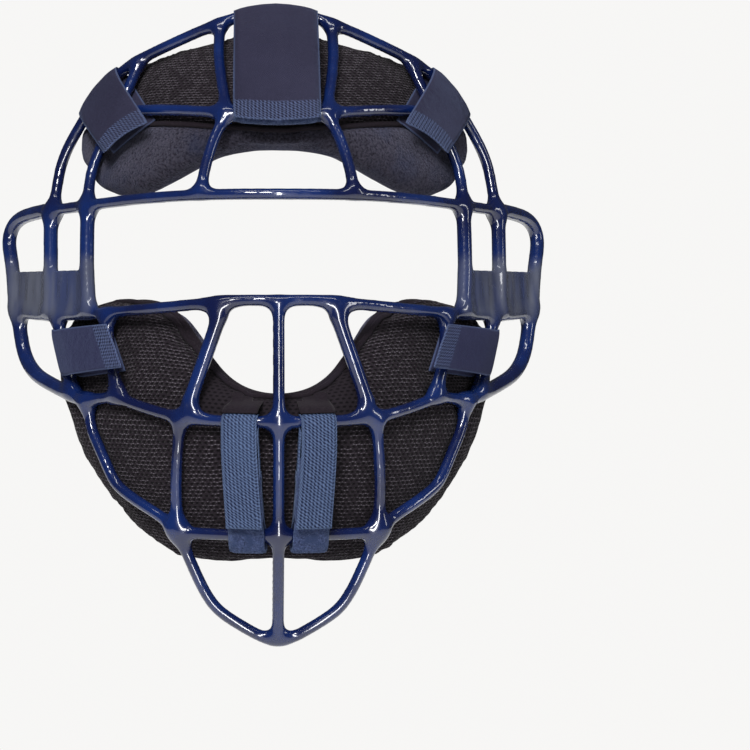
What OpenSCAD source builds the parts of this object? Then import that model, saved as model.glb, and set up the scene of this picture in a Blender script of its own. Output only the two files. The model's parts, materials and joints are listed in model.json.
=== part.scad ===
// Catcher's mask: a coated steel wire cage with two padded liners.
// Each pad is held to the wires by hook-and-loop straps that fold round a wire.
// +Z is up, the wearer looks along -Y and the origin is the middle of the head.
// Left is -X, as seen from in front of the mask.

/* [Cage] */
// Diameter of the wire with its coating
wire_d = 5.4; // [4.6:0.1:6]
// Half of the cage's width at the ears
half_w = 130; // [125:1:135]
// Distance from the head's middle to the front of the cage
nose_y = 88; // [80:1:95]
// How far the crown leans back from the mouth
crown_lean = 82; // [70:1:90]
// How far the sides wrap back to the ears
side_wrap = 125; // [110:1:135]
// Height of the crown's top wire
crown_z = 148; // [146:1:152]
// Height of the brow bar above the eyes
brow_z = 59.5; // [58:0.5:61]
// Height of the bar below the eyes
cheek_z = 11; // [9:0.5:12]
// Height of the bar across the mouth
mouth_z = -43.5; // [-45:0.5:-42]
// Height of the bar across the chin
chin_z = -94.8; // [-96:0.2:-94]
// Height of the lowest point of the chin loop
loop_z = -144; // [-148:1:-142]
// Thickness of the coated plates at the temples
plate_t = 3; // [2:0.1:4]

/* [Pads] */
// Thickness of the forehead pad at its middle
upper_pad_t = 26; // [20:1:30]
// Thickness of the chin and cheek pad at its middle
lower_pad_t = 28; // [20:1:32]
// Thickness of both pads at their edges
pad_edge_t = 8; // [7:0.5:10]
// How far the front of a pad lies behind the wires' middle line
pad_gap = 5; // [4.9:0.1:6]
// Thickness of the mesh cover on the front of a pad
cover_t = 1.5; // [1:0.1:2]
// Thickness of the plush lining on the back of a pad
lining_t = 2; // [1.5:0.1:2.5]
// Diameter of the edge binding
binding_d = 4.6; // [4:0.1:5]

/* [Straps] */
// Width of the forehead pad's middle strap
wide_strap_w = 38; // [36:1:40]
// Width of the chin pad's two middle straps
narrow_strap_w = 15; // [13:1:16]
// Thickness of the strap tape
tape_t = 1.4; // [1.2:0.1:1.5]
// Thickness of the hook patch under a strap's free end
hook_t = 0.7; // [0.5:0.1:0.8]

/* [Hidden] */

wire_r = wire_d / 2;
// Sides of a wire's section, and rings between two of a wire's points.
wire_sides = 8;
wire_steps = 2;
// The face's forward point is at this height, where the cage stands furthest out.
nose_z = -40;
// Clear space between a wire and a tape, and between a tape and a free flap.
tape_gap = 0.3;
loop_in = wire_r + tape_gap;
loop_out = loop_in + tape_t;
hook_in = loop_out + tape_gap;
hook_out = hook_in + hook_t;
flap_out = hook_out + tape_t;

// ---- The face surface, which every wire, pad and strap follows ----

function face_y(x, z) = -nose_y + crown_lean * pow((z - nose_z) / (crown_z - nose_z), 2)
    + side_wrap * pow(x / half_w, 2);
function unit(v) = v / norm(v);
function outward(x, z) = unit([
    2 * side_wrap * x / pow(half_w, 2),
    -1,
    2 * crown_lean * (z - nose_z) / pow(crown_z - nose_z, 2)
]);
// The point at height h in front of the face surface, or behind it where h is negative.
function at_face(p, h = 0) = [p[0], face_y(p[0], p[1]), p[1]] + h * outward(p[0], p[1]);

// ---- Curves ----

function lerp(a, b, t) = a + (b - a) * t;
function clamp_index(i, n) = max(0, min(n - 1, i));
function spline_point(a, b, c, d, t) = 0.5 * (2 * b + (c - a) * t
    + (2 * a - 5 * b + 4 * c - d) * t * t + (3 * b - a - 3 * c + d) * t * t * t);
function smooth(p, steps) = concat(
    [for (i = [0 : len(p) - 2], k = [0 : steps - 1])
        spline_point(p[clamp_index(i - 1, len(p))], p[i], p[i + 1],
            p[clamp_index(i + 2, len(p))], k / steps)],
    [p[len(p) - 1]]);
// A whole arch from its left half, which is listed from the middle outwards.
function arch(half) = concat(
    [for (i = [len(half) - 1 : -1 : 1]) half[i]],
    [for (p = half) [-p[0], p[1]]]);

// ---- The wires' paths: x and z of each bend, left half only ----

RIM = [[0, crown_z], [-14, crown_z - 1.5], [-27, crown_z - 5.5], [-50, crown_z - 15],
    [-70, crown_z - 24.5], [-84, crown_z - 37], [-92, crown_z - 50], [-98, crown_z - 60],
    [-103, crown_z - 72], [-106, brow_z - 4]];
CROWN_SIDE = [[-64, crown_z - 22], [-70, crown_z - 36], [-78.5, crown_z - 54],
    [-85.5, crown_z - 70], [-88, crown_z - 80], [-88.5, brow_z - 2.5]];
CROSS = [[0, crown_z - 51.7], [-24, crown_z - 50], [-50, crown_z - 47.5], [-74, crown_z - 46.5]];
UPRIGHT = [[-26, crown_z - 5.2], [-27, crown_z - 20], [-25.5, crown_z - 35],
    [-23.5, crown_z - 50], [-28, crown_z - 59.5], [-32, crown_z - 71.5], [-34, crown_z - 80],
    [-35, brow_z]];
BROW = [[0, brow_z], [-34.5, brow_z], [-62, brow_z - 1], [-79, brow_z - 2.3],
    [-97, brow_z - 3.8], [-114, brow_z - 4.8]];
EAR = [[-111, brow_z - 4.6], [-121.5, brow_z - 6.5], [-half_w + 2.5, brow_z - 10.5],
    [-half_w, brow_z - 18], [-half_w + 2, brow_z - 29], [-126, cheek_z + 6],
    [-124, cheek_z - 6], [-122, cheek_z - 18], [-119.5, cheek_z - 27], [-114, cheek_z - 34.5],
    [-106, mouth_z + 15.5], [-97, mouth_z + 11.5], [-88, mouth_z + 8]];
CHEEK = [[0, cheek_z], [-22, cheek_z], [-35, cheek_z - 1.5], [-63, cheek_z - 4],
    [-83, cheek_z - 5.7], [-104, cheek_z - 6.5], [-118, cheek_z - 5.7], [-124.5, cheek_z - 4.2]];
TEMPLE_POST = [[-107.5, brow_z - 4.5], [-107, brow_z - 33], [-106.5, cheek_z - 6.5]];
EYE_POST = [[-88.7, brow_z - 3], [-88.7, brow_z - 33], [-87, cheek_z - 5.8]];
CHEEK_POST = [[-103.5, cheek_z - 6.5], [-101.5, cheek_z - 16], [-98.5, cheek_z - 28],
    [-95.5, mouth_z + 15.5], [-94, mouth_z + 10.5]];
CHEEK_UPRIGHT = [[-79, cheek_z - 5.5], [-78, cheek_z - 16], [-76.5, cheek_z - 29.5],
    [-74, mouth_z + 16.5], [-72, mouth_z + 9.5]];
MOUTH = [[0, mouth_z], [-26, mouth_z + 0.4], [-44.5, mouth_z + 1.9], [-52, mouth_z + 3.4],
    [-63, mouth_z + 6.5], [-72, mouth_z + 9.5], [-80.5, mouth_z + 9.8], [-88, mouth_z + 8]];
NOSE = [[-24, cheek_z], [-33.5, cheek_z - 27], [-42.5, mouth_z + 1.8]];
CENTRE = [[0, cheek_z], [0, cheek_z - 27], [0, mouth_z], [0, lerp(mouth_z, chin_z, 0.5)],
    [0, chin_z], [0, lerp(chin_z, loop_z, 0.5)], [0, loop_z]];
JAW_RIM = [[-88, mouth_z + 8], [-86, mouth_z - 4.5], [-82, mouth_z - 13.5],
    [-77.5, mouth_z - 23.5], [-74, chin_z + 21.3], [-66, chin_z + 15.3], [-58.5, chin_z + 10.8],
    [-52, chin_z + 6.8], [-45.5, chin_z + 1]];
JAW_UPRIGHT = [[-44, mouth_z + 1.9], [-45.5, mouth_z - 13.5], [-46.2, chin_z + 21.3],
    [-45.5, chin_z + 1]];
CHIN = [[0, chin_z], [-33, chin_z + 0.5], [-45.5, chin_z + 1]];
LOOP = [[0, loop_z], [-7, loop_z + 2], [-13.5, loop_z + 5.5], [-21, loop_z + 10],
    [-27.5, loop_z + 14.7], [-32, loop_z + 20.7], [-36.3, loop_z + 29], [-41.5, loop_z + 41],
    [-45.5, chin_z + 1]];

// ---- Solids that follow the face ----

// A closed solid between two grids of points. A grid's rows go to +X and each row goes down.
module grid_solid(back, front) {
    rows = len(back);
    cols = len(back[0]);
    size = rows * cols;
    function id(side, i, j) = side * size + i * cols + j;
    function quad(a, b, c, d) = [[a, b, c], [a, c, d]];
    faces = [
        for (i = [0 : rows - 2], j = [0 : cols - 2]) each concat(
            quad(id(0, i, j), id(0, i, j + 1), id(0, i + 1, j + 1), id(0, i + 1, j)),
            quad(id(1, i, j), id(1, i + 1, j), id(1, i + 1, j + 1), id(1, i, j + 1))),
        for (i = [0 : rows - 2]) each concat(
            quad(id(0, i, 0), id(0, i + 1, 0), id(1, i + 1, 0), id(1, i, 0)),
            quad(id(0, i, cols - 1), id(1, i, cols - 1), id(1, i + 1, cols - 1),
                id(0, i + 1, cols - 1))),
        for (j = [0 : cols - 2]) each concat(
            quad(id(0, 0, j), id(1, 0, j), id(1, 0, j + 1), id(0, 0, j + 1)),
            quad(id(0, rows - 1, j), id(0, rows - 1, j + 1), id(1, rows - 1, j + 1),
                id(1, rows - 1, j))),
    ];
    polyhedron(concat([for (row = back) each row], [for (row = front) each row]), faces, 4);
}

// A round bar along a path on the face surface.
module face_tube(path, r, h = 0) {
    n = len(path);
    centre = [for (p = path) at_face(p, h)];
    rings = [for (i = [0 : n - 1])
        let (along = unit(centre[clamp_index(i + 1, n)] - centre[clamp_index(i - 1, n)]),
            front = outward(path[i][0], path[i][1]),
            side = unit(cross(along, front)),
            up = cross(side, along))
        for (k = [0 : wire_sides - 1])
            let (a = (k + 0.5) * 360 / wire_sides)
            centre[i] + r * (cos(a) * up + sin(a) * side)];
    last = (n - 1) * wire_sides;
    faces = concat(
        [[for (k = [0 : wire_sides - 1]) k]],
        [for (i = [0 : n - 2], k = [0 : wire_sides - 1])
            let (k2 = (k + 1) % wire_sides, a = i * wire_sides)
            each [[a + k, a + wire_sides + k, a + wire_sides + k2],
                [a + k, a + wire_sides + k2, a + k2]]],
        [[for (k = [wire_sides - 1 : -1 : 0]) last + k]]);
    polyhedron(rings, faces, 4);
}

module wire(path) {
    color("midnightblue") face_tube(smooth(path, wire_steps), wire_r);
}

module right() {
    mirror([1, 0, 0]) children();
}

// ---- Cage ----

module crown_rim() { wire(arch(RIM)); }
module crown_cross_bar() { wire(arch(CROSS)); }
module brow_bar() { wire(arch(BROW)); }
module cheek_bar() { wire(arch(CHEEK)); }
module mouth_bar() { wire(arch(MOUTH)); }
module chin_cross_bar() { wire(arch(CHIN)); }
module chin_loop() { wire(arch(LOOP)); }
module centre_bar() { wire(CENTRE); }
module ear_rail() { wire(EAR); }
module crown_upright() { wire(UPRIGHT); }
module crown_side() { wire(CROWN_SIDE); }
module temple_post() { wire(TEMPLE_POST); }
module eye_post() { wire(EYE_POST); }
module nose_bar() { wire(NOSE); }
module cheek_post() { wire(CHEEK_POST); }
module cheek_upright() { wire(CHEEK_UPRIGHT); }
module jaw_upright() { wire(JAW_UPRIGHT); }
module jaw_rim() { wire(JAW_RIM); }

// The plate that fills the cage between the eye post and the ear rail.
module temple_plate() {
    z_low = cheek_z - 4;
    z_high = cheek_z + 15.5;
    function layer(h) = [for (x = [-126 : 4.75 : -88])
        [for (z = [z_high, lerp(z_low, z_high, 0.5), z_low])
            at_face([x + (z - z_low) * -0.05, z], h)]];
    color("midnightblue") grid_solid(layer(-plate_t / 2), layer(plate_t / 2));
}

// ---- Pads ----

// Upper and lower edge of each pad by distance from the middle.
UPPER_TOP = [[0, 144], [20, 142], [32, 139], [49, 135], [66, 128.5], [80, 119], [91, 105],
    [97, 93]];
UPPER_BOTTOM = [[0, 92], [18, 91], [31, 87.5], [40, 84.5], [58, 74.5], [70, 68.5], [80, 66],
    [89, 69], [97, 83]];
LOWER_TOP = [[0, -32], [17, -30], [31.5, -23], [39, -14], [52, 3.5], [62, 11], [70, 12.5],
    [88, 11], [100, 6], [107, -8]];
LOWER_BOTTOM = [[0, -109], [31, -110.5], [49, -109], [61, -103], [77, -90], [90, -73],
    [98.5, -57], [101, -48], [104, -38], [107, -28]];
upper_pad_w = 97;
lower_pad_w = 107;
pad_columns = 24;
pad_rows = 8;
// How far a pad's edge rolls back from the wires.
pad_roll = 4;

// How full a pad is at a place: 0 at its edges and 1 in the middle.
function fullness(u, v) = (1 - pow(abs(u), 6)) * (1 - pow(abs(2 * v - 1), 3));

// One layer of a pad, between two depths counted from its front and its back.
module pad_layer(top, bottom, half, thick, front_skin, back_skin, side) {
    function place(u, v) = [u * half, lerp(lookup(abs(u * half), top),
        lookup(abs(u * half), bottom), v)];
    function front_depth(u, v) = pad_gap + pad_roll * (1 - fullness(u, v));
    function depth(u, v, from_back) = front_depth(u, v)
        + (from_back ? lerp(pad_edge_t, thick, fullness(u, v)) : 0);
    function skin_grid(from_back, skin) = [for (i = [0 : pad_columns])
        [for (j = [0 : pad_rows])
            let (u = sin(90 * (2 * i / pad_columns - 1)), v = j / pad_rows)
            at_face(place(u, v), -depth(u, v, from_back) - skin)]];
    grid_solid(skin_grid(side != "front", back_skin), skin_grid(side == "back", front_skin));
}

module pad_cover(top, bottom, half, thick) {
    color([0.16, 0.14, 0.17]) pad_layer(top, bottom, half, thick, 0, cover_t, "front");
}
module pad_foam(top, bottom, half, thick) {
    skin = 0.1;
    color("lightgray")
        pad_layer(top, bottom, half, thick, cover_t + skin, -lining_t - skin, "core");
}
module pad_lining(top, bottom, half, thick) {
    color([0.16, 0.17, 0.26]) pad_layer(top, bottom, half, thick, -lining_t, 0, "back");
}
// The binding is sewn along a pad's upper edge.
module pad_binding(top, half) {
    edge = [for (i = [0 : pad_columns])
        let (x = half * sin(90 * (2 * i / pad_columns - 1)))
        [x, lookup(abs(x), top) + binding_d / 2 + 0.3]];
    color("midnightblue") face_tube(edge, binding_d / 2, -pad_gap - pad_roll - pad_edge_t / 2);
}

module upper_pad_cover() { pad_cover(UPPER_TOP, UPPER_BOTTOM, upper_pad_w, upper_pad_t); }
module upper_pad_foam() { pad_foam(UPPER_TOP, UPPER_BOTTOM, upper_pad_w, upper_pad_t); }
module upper_pad_lining() { pad_lining(UPPER_TOP, UPPER_BOTTOM, upper_pad_w, upper_pad_t); }
module upper_pad_binding() { pad_binding(UPPER_TOP, upper_pad_w); }
module lower_pad_cover() { pad_cover(LOWER_TOP, LOWER_BOTTOM, lower_pad_w, lower_pad_t); }
module lower_pad_foam() { pad_foam(LOWER_TOP, LOWER_BOTTOM, lower_pad_w, lower_pad_t); }
module lower_pad_lining() { pad_lining(LOWER_TOP, LOWER_BOTTOM, lower_pad_w, lower_pad_t); }
module lower_pad_binding() { pad_binding(LOWER_TOP, lower_pad_w); }

// ---- Straps ----
// A strap's columns run across its width. Each column goes from a point on the wire that the
// strap folds round to a point at the strap's free end.

tape_columns = 4;
arc_steps = 6;
run_steps = 5;
// Angles on a wire, from its front round its far side, at which the sewn tape and the flap begin.
loop_from = 15;
flap_from = 25;
// Shares of the way from the fold to the free end: where a straight run begins, and where the
// sewn tape ends behind the wires, when it ends there or goes round a second wire.
run_from = 0.08;
sewn_reach = 0.8;
second_fold = 0.95;
second_from = 0.06;
// The same share where a wide or side strap's hook patch begins, and a chin strap's.
hook_from = 0.45;
chin_hook_from = 0.35;
// The same share where a flap is cut off.
crown_reach = 1.12;
chin_reach = 0.91;
// Share of the way back up to the fold at which a tape that goes round a second wire is sewn down.
crown_sewn_front = 0.45;
chin_sewn_front = 0.7;

// Height of a smoothed wire path over x, for a path that goes steadily in x.
function wire_z(path, x) = lookup(x, smooth(path, wire_steps * 2));
// Distance from the middle plane of a path that goes steadily in z, as a negative x.
function wire_x(path, z) = lookup(z, [for (p = smooth(path, wire_steps * 2)) [p[1], p[0]]]);
function upwards(path) = [for (k = [len(path) - 1 : -1 : 0]) path[k]];

function along(a, b) = let (n = outward(a[0], a[1]), d = at_face(b) - at_face(a))
    unit(d - (d * n) * n);
// Points round the wire at a, from angle f to angle g: 0 is in front and 90 is away from b.
function fold(a, b, r, f, g) = let (n = outward(a[0], a[1]), d = along(a, b))
    [for (k = [0 : arc_steps])
        let (t = lerp(f, g, k / arc_steps))
        at_face(a) + r * (cos(t) * n - sin(t) * d)];
function run(a, b, h, f, g) = [for (k = [0 : run_steps])
    at_face(lerp(a, b, lerp(f, g, k / run_steps)), h)];

// The sewn part of a strap: round the wire, behind it, and where shut, round a second wire.
function loop_line(a, b, r, shut, front) = concat(
    fold(a, b, r, loop_from, 180),
    run(a, b, -r, run_from, shut ? second_fold : sewn_reach),
    shut ? fold(b, a, r, 180, 0) : [],
    shut ? run(b, a, r, second_from, front) : []);
function flap_line(a, b, r, reach) = concat(fold(a, b, r, flap_from, 0),
    run(a, b, r, run_from, reach));

module strap_loop(columns, shut, front) {
    color([0.18, 0.24, 0.45]) grid_solid(
        [for (c = columns) loop_line(c[0], c[1], loop_out, shut, front)],
        [for (c = columns) loop_line(c[0], c[1], loop_in, shut, front)]);
}
module strap_flap(columns, reach) {
    color([0.22, 0.25, 0.42]) grid_solid(
        [for (c = columns) flap_line(c[0], c[1], hook_out, reach)],
        [for (c = columns) flap_line(c[0], c[1], flap_out, reach)]);
}
module strap_hook(columns, start, reach) {
    margin = 0.03;
    color([0.15, 0.17, 0.28]) grid_solid(
        [for (c = columns) run(c[0], c[1], hook_in, start, reach - margin)],
        [for (c = columns) run(c[0], c[1], hook_out, start, reach - margin)]);
}

// Middle strap of the forehead pad, from the crown rim to below the cross bar.
CROWN_STRAP = [for (i = [0 : tape_columns])
    let (x = wide_strap_w * (i / tape_columns - 0.5))
    [[x, wire_z(arch(RIM), x)], [x, wire_z(arch(CROSS), x)]]];
// Side strap of the forehead pad, from the crown rim down and inwards over the pad.
BROW_STRAP = [for (i = [0 : tape_columns])
    let (x = lerp(-91, -73.5, i / tape_columns), a = [x, wire_z(arch(RIM), x)])
    [a, a + [lerp(15, 18, i / tape_columns), lerp(-22, -30, i / tape_columns)]]];
// Side strap of the chin pad, from the cheek post inwards over the pad's wing.
CHEEK_STRAP = [for (i = [0 : tape_columns])
    let (z = lerp(cheek_z - 35.5, cheek_z - 14, i / tape_columns),
        a = [wire_x(upwards(CHEEK_POST), z), z])
    [a, [lerp(-66, -73.5, i / tape_columns), lerp(cheek_z - 31, cheek_z - 11, i / tape_columns)]]];
// One of the chin pad's two middle straps, from the mouth bar to below the chin bar.
CHIN_STRAP = [for (i = [0 : tape_columns])
    let (x = -17 + narrow_strap_w * (i / tape_columns - 0.5))
    [[x, wire_z(arch(MOUTH), x)], [x + 3, wire_z(arch(CHIN), x + 3)]]];

module crown_strap_loop() { strap_loop(CROWN_STRAP, true, crown_sewn_front); }
module crown_strap_flap() { strap_flap(CROWN_STRAP, crown_reach); }
module crown_strap_hook() { strap_hook(CROWN_STRAP, hook_from, crown_reach); }
module brow_strap_loop() { strap_loop(BROW_STRAP, false, 0); }
module brow_strap_flap() { strap_flap(BROW_STRAP, 1); }
module brow_strap_hook() { strap_hook(BROW_STRAP, hook_from, 1); }
module cheek_strap_loop() { strap_loop(CHEEK_STRAP, false, 0); }
module cheek_strap_flap() { strap_flap(CHEEK_STRAP, 1); }
module cheek_strap_hook() { strap_hook(CHEEK_STRAP, hook_from, 1); }
module chin_strap_loop() { strap_loop(CHIN_STRAP, true, chin_sewn_front); }
module chin_strap_flap() { strap_flap(CHIN_STRAP, chin_reach); }
module chin_strap_hook() { strap_hook(CHIN_STRAP, chin_hook_from, chin_reach); }

crown_rim();
crown_cross_bar();
brow_bar();
cheek_bar();
mouth_bar();
chin_cross_bar();
chin_loop();
centre_bar();
ear_rail();  // ear_rail_left
right() ear_rail();  // ear_rail_right
crown_upright();  // crown_upright_left
right() crown_upright();  // crown_upright_right
crown_side();  // crown_side_left
right() crown_side();  // crown_side_right
temple_post();  // temple_post_left
right() temple_post();  // temple_post_right
eye_post();  // eye_post_left
right() eye_post();  // eye_post_right
temple_plate();  // temple_plate_left
right() temple_plate();  // temple_plate_right
nose_bar();  // nose_bar_left
right() nose_bar();  // nose_bar_right
cheek_post();  // cheek_post_left
right() cheek_post();  // cheek_post_right
cheek_upright();  // cheek_upright_left
right() cheek_upright();  // cheek_upright_right
jaw_upright();  // jaw_upright_left
right() jaw_upright();  // jaw_upright_right
jaw_rim();  // jaw_rim_left
right() jaw_rim();  // jaw_rim_right
upper_pad_cover();
upper_pad_foam();
upper_pad_lining();
upper_pad_binding();
lower_pad_cover();
lower_pad_foam();
lower_pad_lining();
lower_pad_binding();
crown_strap_loop();
crown_strap_flap();
crown_strap_hook();
brow_strap_loop();  // brow_strap_left_loop
brow_strap_flap();  // brow_strap_left_flap
brow_strap_hook();  // brow_strap_left_hook
right() brow_strap_loop();  // brow_strap_right_loop
right() brow_strap_flap();  // brow_strap_right_flap
right() brow_strap_hook();  // brow_strap_right_hook
cheek_strap_loop();  // cheek_strap_left_loop
cheek_strap_flap();  // cheek_strap_left_flap
cheek_strap_hook();  // cheek_strap_left_hook
right() cheek_strap_loop();  // cheek_strap_right_loop
right() cheek_strap_flap();  // cheek_strap_right_flap
right() cheek_strap_hook();  // cheek_strap_right_hook
chin_strap_loop();  // chin_strap_left_loop
chin_strap_flap();  // chin_strap_left_flap
chin_strap_hook();  // chin_strap_left_hook
right() chin_strap_loop();  // chin_strap_right_loop
right() chin_strap_flap();  // chin_strap_right_flap
right() chin_strap_hook();  // chin_strap_right_hook
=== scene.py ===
import heapq
import json
import math

import bmesh
import bpy
import numpy as np
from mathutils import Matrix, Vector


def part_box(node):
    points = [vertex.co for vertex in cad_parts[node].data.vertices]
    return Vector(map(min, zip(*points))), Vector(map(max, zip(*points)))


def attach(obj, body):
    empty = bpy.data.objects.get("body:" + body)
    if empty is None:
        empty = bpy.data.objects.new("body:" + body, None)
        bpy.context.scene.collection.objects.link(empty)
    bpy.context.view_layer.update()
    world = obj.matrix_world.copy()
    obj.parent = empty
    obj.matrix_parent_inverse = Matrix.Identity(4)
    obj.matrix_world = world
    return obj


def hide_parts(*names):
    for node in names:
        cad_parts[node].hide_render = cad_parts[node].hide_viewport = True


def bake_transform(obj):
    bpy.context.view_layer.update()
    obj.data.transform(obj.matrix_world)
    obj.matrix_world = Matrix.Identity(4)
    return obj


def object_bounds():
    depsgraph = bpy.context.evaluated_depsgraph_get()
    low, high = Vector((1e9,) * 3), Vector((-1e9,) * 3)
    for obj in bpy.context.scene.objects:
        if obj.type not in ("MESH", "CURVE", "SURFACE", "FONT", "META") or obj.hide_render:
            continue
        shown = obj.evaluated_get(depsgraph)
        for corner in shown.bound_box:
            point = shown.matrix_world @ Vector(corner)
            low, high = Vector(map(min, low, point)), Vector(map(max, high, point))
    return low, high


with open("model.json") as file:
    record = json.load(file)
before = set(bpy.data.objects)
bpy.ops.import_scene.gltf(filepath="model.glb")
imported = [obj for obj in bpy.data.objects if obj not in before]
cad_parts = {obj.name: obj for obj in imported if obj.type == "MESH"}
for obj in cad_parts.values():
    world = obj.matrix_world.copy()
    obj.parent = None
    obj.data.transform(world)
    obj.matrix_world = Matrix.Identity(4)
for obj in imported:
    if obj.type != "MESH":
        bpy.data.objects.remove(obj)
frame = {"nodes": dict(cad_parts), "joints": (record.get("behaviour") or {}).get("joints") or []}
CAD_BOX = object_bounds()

import openvdb
from mathutils import Vector
from mathutils.bvhtree import BVHTree
from mathutils.kdtree import KDTree

# ---- Sizes, in metres ----

MM = 0.001
WIRE_R = 2.7 * MM             # coated wire
THICK_R = 3.5 * MM            # coated wire at the ears, where the coating is thickest
WEB = 6.5 * MM                # how far the coating reaches between two wires that meet
VOXEL = 1.0 * MM              # grid of the coating's distance field
REACH = 12 * MM               # distances beyond this aren't worked out
PLATE_R = 1.5 * MM            # half the thickness of a temple plate
PLATE_WAVE = 0.3 * MM         # depth of the ripples in a temple plate
PLATE_PITCH = 8 * MM          # distance between those ripples
PAD_VOXEL = 3 * MM            # mesh size of a pad before it is inflated
PAD_SHRINK = 1.2 * MM         # how much smaller a pad is before it is inflated
PAD_PUFF = 5 * MM             # furthest that a pad may swell
OUTLINE_GROW = 3.4 * MM       # how much wider a pad is made once it is inflated
WIRE_CLEAR = 0.5 * MM         # space kept between a pad and the coating
PIPING_R = 1.3 * MM           # cord sewn into a pad's seam
TAPE = 1.4 * MM               # thickness of the strap tape
HOOK = 0.7 * MM               # thickness of a hook patch
RING_BACK = 3.5 * MM          # radius of a strap's fold behind its wire and over it
RING_FRONT = 3.9 * MM         # and in front of it
DIP = 2.2 * MM                # how far in a flap dips just past its fold
EDGE_LIFT = 0.3 * MM          # how far out a flap's long edges curl
DROOP = 4.5 * MM              # how far a chin strap's loop tape hangs below its bar
TUCK = 1.5 * MM               # how far a loop tape's start lies under the main tape's end
CAMERA_DISTANCE = 1.5         # from the head's middle
FRAME_WIDTH = 0.3562          # width of the picture at the head's middle
YAW = math.radians(-1.0)      # how far round the object the camera stands, -1 being left
SHIFT_X = 0.1327              # how far the object stands left of the picture's middle
SHIFT_Y = -0.0667             # and above it, as shares of the picture's width
THREAD_R = 0.28 * MM          # sewing thread
BINDING_R = 2.0 * MM          # tape folded over a pad's upper edge
GROOVE_DEPTH = 1.5 * MM       # how far a seam is drawn into a pad
GROOVE_WIDTH = 2.6 * MM       # and how far to its sides that reaches
PRESSURE = 4                  # of the air in a pad while it is inflated
CLOTH_FRAMES = 20             # steps of that simulation
WIDTH_SHARES = np.linspace(0, 1, 13)   # where a tape's lengthwise lines lie across it
RAY = 30 * MM                 # how far from a tape the rays that look for it start
WIRE_SPAN = 60 * MM           # how far to the side of a strap its wires are followed
WIRE_DROP = 100 * MM          # and how far along it
PAD_LAYERS = ["cover", "foam", "lining"]

# Each strap, the wire that it folds round and the wire that its loop tape folds round.
STRAPS = {"crown_strap": ("crown_rim", "crown_cross_bar"),
          "brow_strap_left": ("crown_rim", None), "brow_strap_right": ("crown_rim", None),
          "cheek_strap_left": ("cheek_post_left", None),
          "cheek_strap_right": ("cheek_post_right", None),
          "chin_strap_left": ("mouth_bar", "chin_cross_bar"),
          "chin_strap_right": ("mouth_bar", "chin_cross_bar")}

NODES = frame["nodes"]
JOINTS = {j["name"]: j for j in frame["joints"]}


def smoothstep(t):
    t = np.clip(t, 0, 1)
    return t * t * (3 - 2 * t)


def unit(vectors):
    """The same directions, each one long."""
    return vectors / np.maximum(np.linalg.norm(vectors, axis=-1, keepdims=True), 1e-9)


def travelled_along(line):
    """How far along a line each of its points is."""
    return np.r_[0, np.cumsum(np.linalg.norm(np.diff(line, axis=0), axis=1))]


def read_off(at, along, values):
    """Values at other places along a line."""
    return np.stack([np.interp(at, along, values[:, k]) for k in range(3)], 1)


# ---- Mesh helpers ----

def node_tree(names):
    """One tree of triangles over several CAD nodes, for rays and nearest points."""
    points, faces = [], []
    for name in names:
        mesh = NODES[name].data
        start = len(points)
        points += [v.co.copy() for v in mesh.vertices]
        faces += [[start + i for i in p.vertices] for p in mesh.polygons]
    return BVHTree.FromPolygons(points, faces)


def skin_tree(piece):
    """The same tree over a piece's own faces."""
    return BVHTree.FromPolygons([v.co.copy() for v in piece.data.vertices],
                                [list(p.vertices) for p in piece.data.polygons])


def new_piece(name, mesh, material):
    piece = bpy.data.objects.new(name, mesh)
    bpy.context.scene.collection.objects.link(piece)
    mesh.shade_smooth()
    if material:
        mesh.materials.append(material)
    return piece


def mesh_object(name, points, faces, material=None):
    mesh = bpy.data.meshes.new(name)
    mesh.from_pydata([tuple(p) for p in points], [], [tuple(f) for f in faces])
    mesh.validate()
    return new_piece(name, mesh, material)


def from_bmesh(name, bm, material=None):
    mesh = bpy.data.meshes.new(name)
    bm.to_mesh(mesh)
    bm.free()
    return new_piece(name, mesh, material)


def corner_values(piece, kind):
    values = np.zeros(len(piece.data.vertices) * 3, np.float32)
    piece.data.vertices.foreach_get(kind, values)
    return values.reshape(-1, 3).astype(float)


def positions(piece):
    return corner_values(piece, "co")


def normals(piece):
    return corner_values(piece, "normal")


def add_map(piece, name, pairs):
    """Keeps a flat map of a piece, from one pair of values per corner."""
    layer = piece.data.uv_layers.new(name=name)
    corners = np.zeros(len(piece.data.loops), np.int32)
    piece.data.loops.foreach_get("vertex_index", corners)
    layer.data.foreach_set("uv", np.asarray(pairs)[corners].astype(np.float32).ravel())


def add_mark(piece, name, values):
    """Keeps one value per corner for the materials to read."""
    mark = piece.data.attributes.new(name, "FLOAT", "POINT")
    mark.data.foreach_set("value", np.array(values, np.float32))


def grid_faces(rows, columns):
    """Faces of a grid of points that are stored row by row."""
    starts = [i * columns + j for i in range(rows - 1) for j in range(columns - 1)]
    return [(a, a + columns, a + columns + 1, a + 1) for a in starts]


def set_positions(piece, co):
    piece.data.vertices.foreach_set("co", np.asarray(co, np.float32).ravel())
    piece.data.update()


def apply_modifiers(piece):
    bpy.context.view_layer.update()
    depsgraph = bpy.context.evaluated_depsgraph_get()
    mesh = bpy.data.meshes.new_from_object(piece.evaluated_get(depsgraph))
    piece.modifiers.clear()
    old = piece.data
    piece.data = mesh
    bpy.data.meshes.remove(old)
    mesh.shade_smooth()


# ---- Wires: the middle line of each CAD wire ----

def furthest_corner(near, co):
    """The corner furthest from the first one, going along a mesh's edges."""
    reached = {}
    queue = [(0.0, 0)]
    while queue:
        far, i = heapq.heappop(queue)
        if i not in reached:
            reached[i] = far
            for j in near[i] - set(reached):
                heapq.heappush(queue, (far + np.linalg.norm(co[i] - co[j]), j))
    return max(reached, key=reached.get)


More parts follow.
